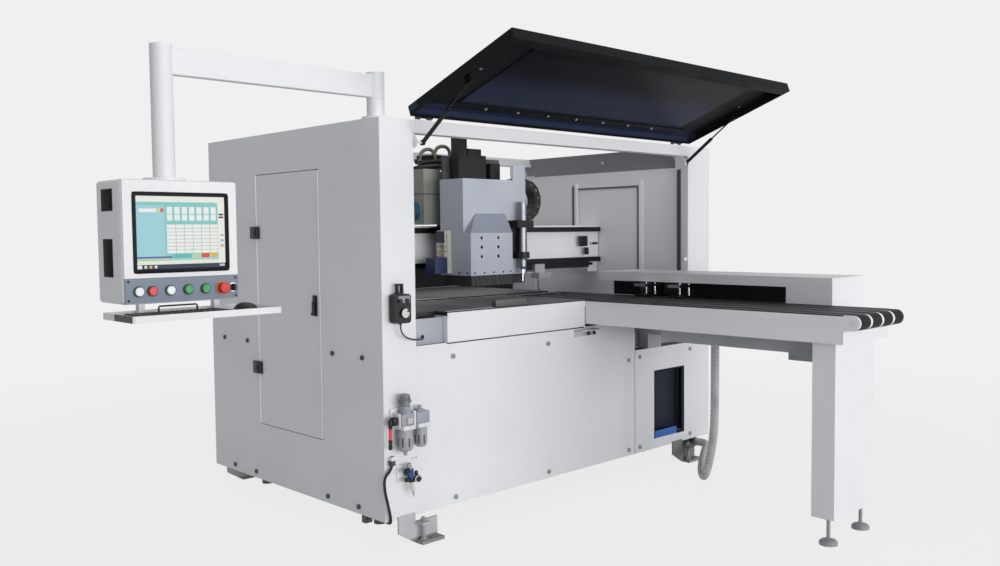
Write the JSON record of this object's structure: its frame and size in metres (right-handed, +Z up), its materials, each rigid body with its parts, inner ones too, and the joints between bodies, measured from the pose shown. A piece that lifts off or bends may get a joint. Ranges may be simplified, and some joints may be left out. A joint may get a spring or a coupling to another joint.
{
  "type": "six sided drilling machine",
  "caption": "Floor standing CNC panel drilling machine with upper and lower drill units, infeed table with clamps, lifting hood and console on a swing arm.",
  "frame": {"origin": "on the floor at the centre of the four floor bolts", "axes": "+X to the right along the front, +Y to the back, +Z up"},
  "size_m": [3.478, 2.9384, 2.0624],
  "materials": {
    "white_paint": "fine powder coat",
    "frame_paint": "dark powder coat",
    "bracket_paint": "light grey paint",
    "black_steel": "black oxide",
    "grey_paint": "grey paint",
    "shroud_paint": "blue grey powder coat",
    "hood_paint": "satin black paint",
    "hood_glass": "tinted acrylic",
    "drive_plastic": "moulded housings",
    "bin_plastic": "blue plastic",
    "table_plate": "dark phenolic",
    "rail_steel": "ground steel",
    "belt_rubber": "black belt",
    "chrome": "hard chrome",
    "aluminium": "machined",
    "cast_grey": "dark machine paint",
    "face_plate": "blue grey plate",
    "tray_white": "white tray",
    "plastic_white": "button",
    "plastic_red": "button",
    "plastic_green": "button",
    "plastic_black": "moulded plastic",
    "strut_black": "gas strut tube",
    "skirt_rubber": "rubber strips",
    "air_grey": "air unit",
    "cable_black": "cable sheath",
    "hose_grey": "ribbed hose"
  },
  "bodies": {
    "machine": {"base_frame": "frame_paint", "floor_brackets": "bracket_paint", "fasteners": "black_steel", "left_side_panel": "white_paint", "tower_panels": "white_paint", "electrical_gear": "drive_plastic", "fixed_hinges": "black_steel", "top_frame": "white_paint", "front_panel": "white_paint", "chute_panel": "white_paint", "chip_bin": "bin_plastic", "table_beams": "white_paint", "table_plates": "table_plate", "cross_beam": "white_paint", "linear_rails": "rail_steel", "conveyor_belts": "belt_rubber", "infeed_leg": "white_paint", "clamp_beam": "grey_paint", "clamp_guard": "white_paint", "air_service": "air_grey", "pendant": "plastic_black", "mains_cable": "cable_black", "pendant_cable": "cable_black", "dust_hose": "hose_grey"},
    "hood": {"hood_frame": "hood_paint", "hood_window": "hood_glass"},
    "strut_tube_left": {"strut_tube_left": "strut_black"},
    "strut_rod_left": {"strut_rod_left": "chrome"},
    "strut_tube_right": {"strut_tube_right": "strut_black"},
    "strut_rod_right": {"strut_rod_right": "chrome"},
    "door": {"cabinet_door": "white_paint", "door_fittings": "plastic_black"},
    "latch": {"latch_paddle": "plastic_black"},
    "arm": {"swing_arm": "white_paint"},
    "console": {"console_shell": "white_paint", "console_face": "face_plate", "keyboard_tray": "tray_white"},
    "button_white_left": {"button_white_left": "plastic_white"},
    "button_red": {"button_red": "plastic_red"},
    "button_white_right": {"button_white_right": "plastic_white"},
    "button_green_left": {"button_green_left": "plastic_green"},
    "button_green_right": {"button_green_right": "plastic_green"},
    "estop": {"estop": "plastic_red"},
    "selector": {"selector": "plastic_black"},
    "carriage": {"x_carriage": "cast_grey"},
    "head": {"head_shroud": "shroud_paint", "head_plate": "aluminium", "head_motors": "black_steel", "dust_skirt": "skirt_rubber", "router_body": "chrome", "chain_loop": "plastic_black"},
    "spindle": {"router_collet": "rail_steel"},
    "drill_bank": {"drills": "rail_steel"},
    "lower_unit": {"lower_carriage": "cast_grey"},
    "lower_bank": {"lower_drills": "rail_steel"},
    "clamp": {"clamp_carriage": "cast_grey"},
    "jaws": {"clamp_jaws": "chrome"},
    "roller": {"infeed_roller": "rail_steel"},
    "knob": {"regulator_knob": "plastic_black"},
    "dial": {"pendant_dial": "plastic_white"}
  },
  "joints": [
    {"name": "hood_lift", "type": "hinge", "parent": "machine", "child": "hood", "pos_m": [0, -0.735, 1.798], "axis": [1, 0, 0], "range_deg": [0, 110.1]},
    {"name": "strut_swing_left", "type": "hinge", "parent": "machine", "child": "strut_tube_left", "pos_m": [-0.97, -0.744, 1.69], "axis": [1, 0, 0], "range_deg": [0, 128.72]},
    {"name": "strut_stroke_left", "type": "slide", "parent": "strut_tube_left", "child": "strut_rod_left", "axis": [0, -0.8055, 0.5927], "range_m": [-0.1517, 0]},
    {"name": "strut_swing_right", "type": "hinge", "parent": "machine", "child": "strut_tube_right", "pos_m": [0.934, -0.744, 1.69], "axis": [1, 0, 0], "range_deg": [0, 128.72]},
    {"name": "strut_stroke_right", "type": "slide", "parent": "strut_tube_right", "child": "strut_rod_right", "axis": [0, -0.8055, 0.5927], "range_m": [-0.1517, 0]},
    {"name": "door_hinge", "type": "hinge", "parent": "machine", "child": "door", "pos_m": [-1.193, 0.2635, 0.996], "axis": [0, 0, -1], "range_deg": [0, 110]},
    {"name": "latch_tip", "type": "hinge", "parent": "door", "child": "latch", "pos_m": [-1.195, -0.241, 0.956], "axis": [0, -1, 0], "range_deg": [0, 45]},
    {"name": "arm_swing", "type": "hinge", "parent": "machine", "child": "arm", "pos_m": [-1.12, -0.623, 1.9], "axis": [0, 0, 1], "range_deg": [-10, 75]},
    {"name": "console_swivel", "type": "hinge", "parent": "arm", "child": "console", "pos_m": [-2.039, -0.623, 1.54], "axis": [0, 0, 1], "range_deg": [-45, 45]},
    {"name": "button_white_left_press", "type": "slide", "parent": "console", "child": "button_white_left", "axis": [0, 1, 0], "range_m": [0, 0.004], "stiffness_N_per_m": 900, "springref_m": -0.002},
    {"name": "button_red_press", "type": "slide", "parent": "console", "child": "button_red", "axis": [0, 1, 0], "range_m": [0, 0.004], "stiffness_N_per_m": 900, "springref_m": -0.002},
    {"name": "button_white_right_press", "type": "slide", "parent": "console", "child": "button_white_right", "axis": [0, 1, 0], "range_m": [0, 0.004], "stiffness_N_per_m": 900, "springref_m": -0.002},
    {"name": "button_green_left_press", "type": "slide", "parent": "console", "child": "button_green_left", "axis": [0, 1, 0], "range_m": [0, 0.004], "stiffness_N_per_m": 900, "springref_m": -0.002},
    {"name": "button_green_right_press", "type": "slide", "parent": "console", "child": "button_green_right", "axis": [0, 1, 0], "range_m": [0, 0.004], "stiffness_N_per_m": 900, "springref_m": -0.002},
    {"name": "estop_press", "type": "slide", "parent": "console", "child": "estop", "axis": [0, 1, 0], "range_m": [0, 0.005], "stiffness_N_per_m": 1500, "springref_m": -0.002},
    {"name": "selector_turn", "type": "hinge", "parent": "console", "child": "selector", "pos_m": [-1.859, -0.758, 1.128], "axis": [0, -1, 0], "range_deg": [-45, 45]},
    {"name": "head_x", "type": "slide", "parent": "machine", "child": "carriage", "axis": [1, 0, 0], "range_m": [-0.52, 0.34]},
    {"name": "head_z", "type": "slide", "parent": "carriage", "child": "head", "axis": [0, 0, 1], "range_m": [0, 0.08]},
    {"name": "router_spin", "type": "hinge", "parent": "head", "child": "spindle", "pos_m": [0.006, -0.366, 1.1], "axis": [0, 0, 1], "continuous": true},
    {"name": "drill_plunge", "type": "slide", "parent": "head", "child": "drill_bank", "axis": [0, 0, -1], "range_m": [0, 0.06], "stiffness_N_per_m": 1500, "springref_m": -0.03},
    {"name": "lower_x", "type": "slide", "parent": "machine", "child": "lower_unit", "axis": [1, 0, 0], "range_m": [-0.56, 0.4]},
    {"name": "lower_plunge", "type": "slide", "parent": "lower_unit", "child": "lower_bank", "axis": [0, 0, 1], "range_m": [0, 0.06]},
    {"name": "clamp_travel", "type": "slide", "parent": "machine", "child": "clamp", "axis": [0, 1, 0], "range_m": [-0.52, 1.1]},
    {"name": "jaw_close", "type": "slide", "parent": "clamp", "child": "jaws", "axis": [0, 0, -1], "range_m": [0, 0.03]},
    {"name": "roller_turn", "type": "hinge", "parent": "machine", "child": "roller", "pos_m": [0.286, -2.123, 0.9385], "axis": [1, 0, 0], "continuous": true},
    {"name": "regulator_turn", "type": "hinge", "parent": "machine", "child": "knob", "pos_m": [-1.103, -0.768, 0.62], "axis": [0, 0, 1], "range_deg": [-170, 170]},
    {"name": "dial_turn", "type": "hinge", "parent": "machine", "child": "dial", "pos_m": [-1.104, -0.778, 0.985], "axis": [0, -1, 0], "continuous": true}
  ],
  "couplings": [
    {"joint": "strut_swing_left", "follows": "hood_lift", "ratio": 1.1686},
    {"joint": "strut_stroke_left", "follows": "hood_lift", "m_per_rad": -0.078788},
    {"joint": "strut_swing_right", "follows": "hood_lift", "ratio": 1.1686},
    {"joint": "strut_stroke_right", "follows": "hood_lift", "m_per_rad": -0.078788}
  ]
}
